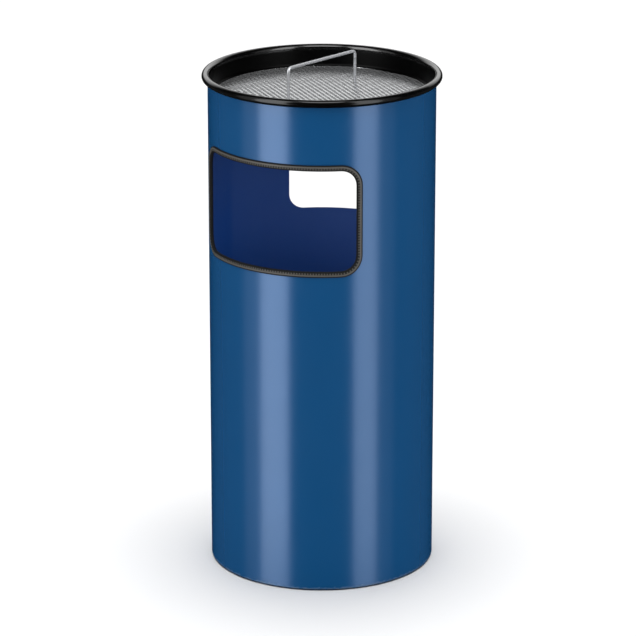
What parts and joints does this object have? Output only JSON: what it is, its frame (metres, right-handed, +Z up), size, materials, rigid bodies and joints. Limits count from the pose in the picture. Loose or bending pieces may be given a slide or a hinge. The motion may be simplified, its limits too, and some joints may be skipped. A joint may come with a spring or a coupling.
{
  "type": "ashtray bin",
  "caption": "Round floor-standing steel litter bin with two facing drop openings, a lift-off ash tray on top and a loose sieve with a wire lift handle.",
  "frame": {"origin": "on the floor, on the axis of the round body", "axes": "+Z up along the body's axis, -Y through the middle of the trimmed front drop opening, +X to the right seen from the front"},
  "size_m": [0.3365, 0.3366, 0.7348],
  "materials": {
    "blue_coat": "semi-gloss powder coat on sheet steel",
    "base_coat": "powder coat on pressed sheet steel",
    "foot_rubber": "moulded rubber",
    "rivet_metal": "plain",
    "trim_rubber": "ribbed extruded rubber",
    "spring_strip": "plain spring steel strip",
    "black_enamel": "gloss black enamel on pressed steel",
    "sieve_zinc": "bright zinc on expanded steel",
    "wire_steel": "zinc plated wire"
  },
  "bodies": {
    "bin": {"body_shell": "blue_coat", "base_plate": "base_coat", "foot_1": "foot_rubber", "foot_2": "foot_rubber", "foot_3": "foot_rubber", "foot_4": "foot_rubber", "foot_rivets": "rivet_metal", "front_trim": "trim_rubber", "front_trim_core": "spring_strip"},
    "tray": {"ash_tray": "black_enamel"},
    "sieve": {"sieve_mesh": "sieve_zinc", "lift_handle": "wire_steel"}
  },
  "joints": [
    {"name": "tray_lift", "type": "slide", "parent": "bin", "child": "tray", "axis": [0, 0, 1], "range_m": [0, 0.16]},
    {"name": "sieve_lift", "type": "slide", "parent": "tray", "child": "sieve", "axis": [0, 0, 1], "range_m": [0, 0.12]}
  ]
}
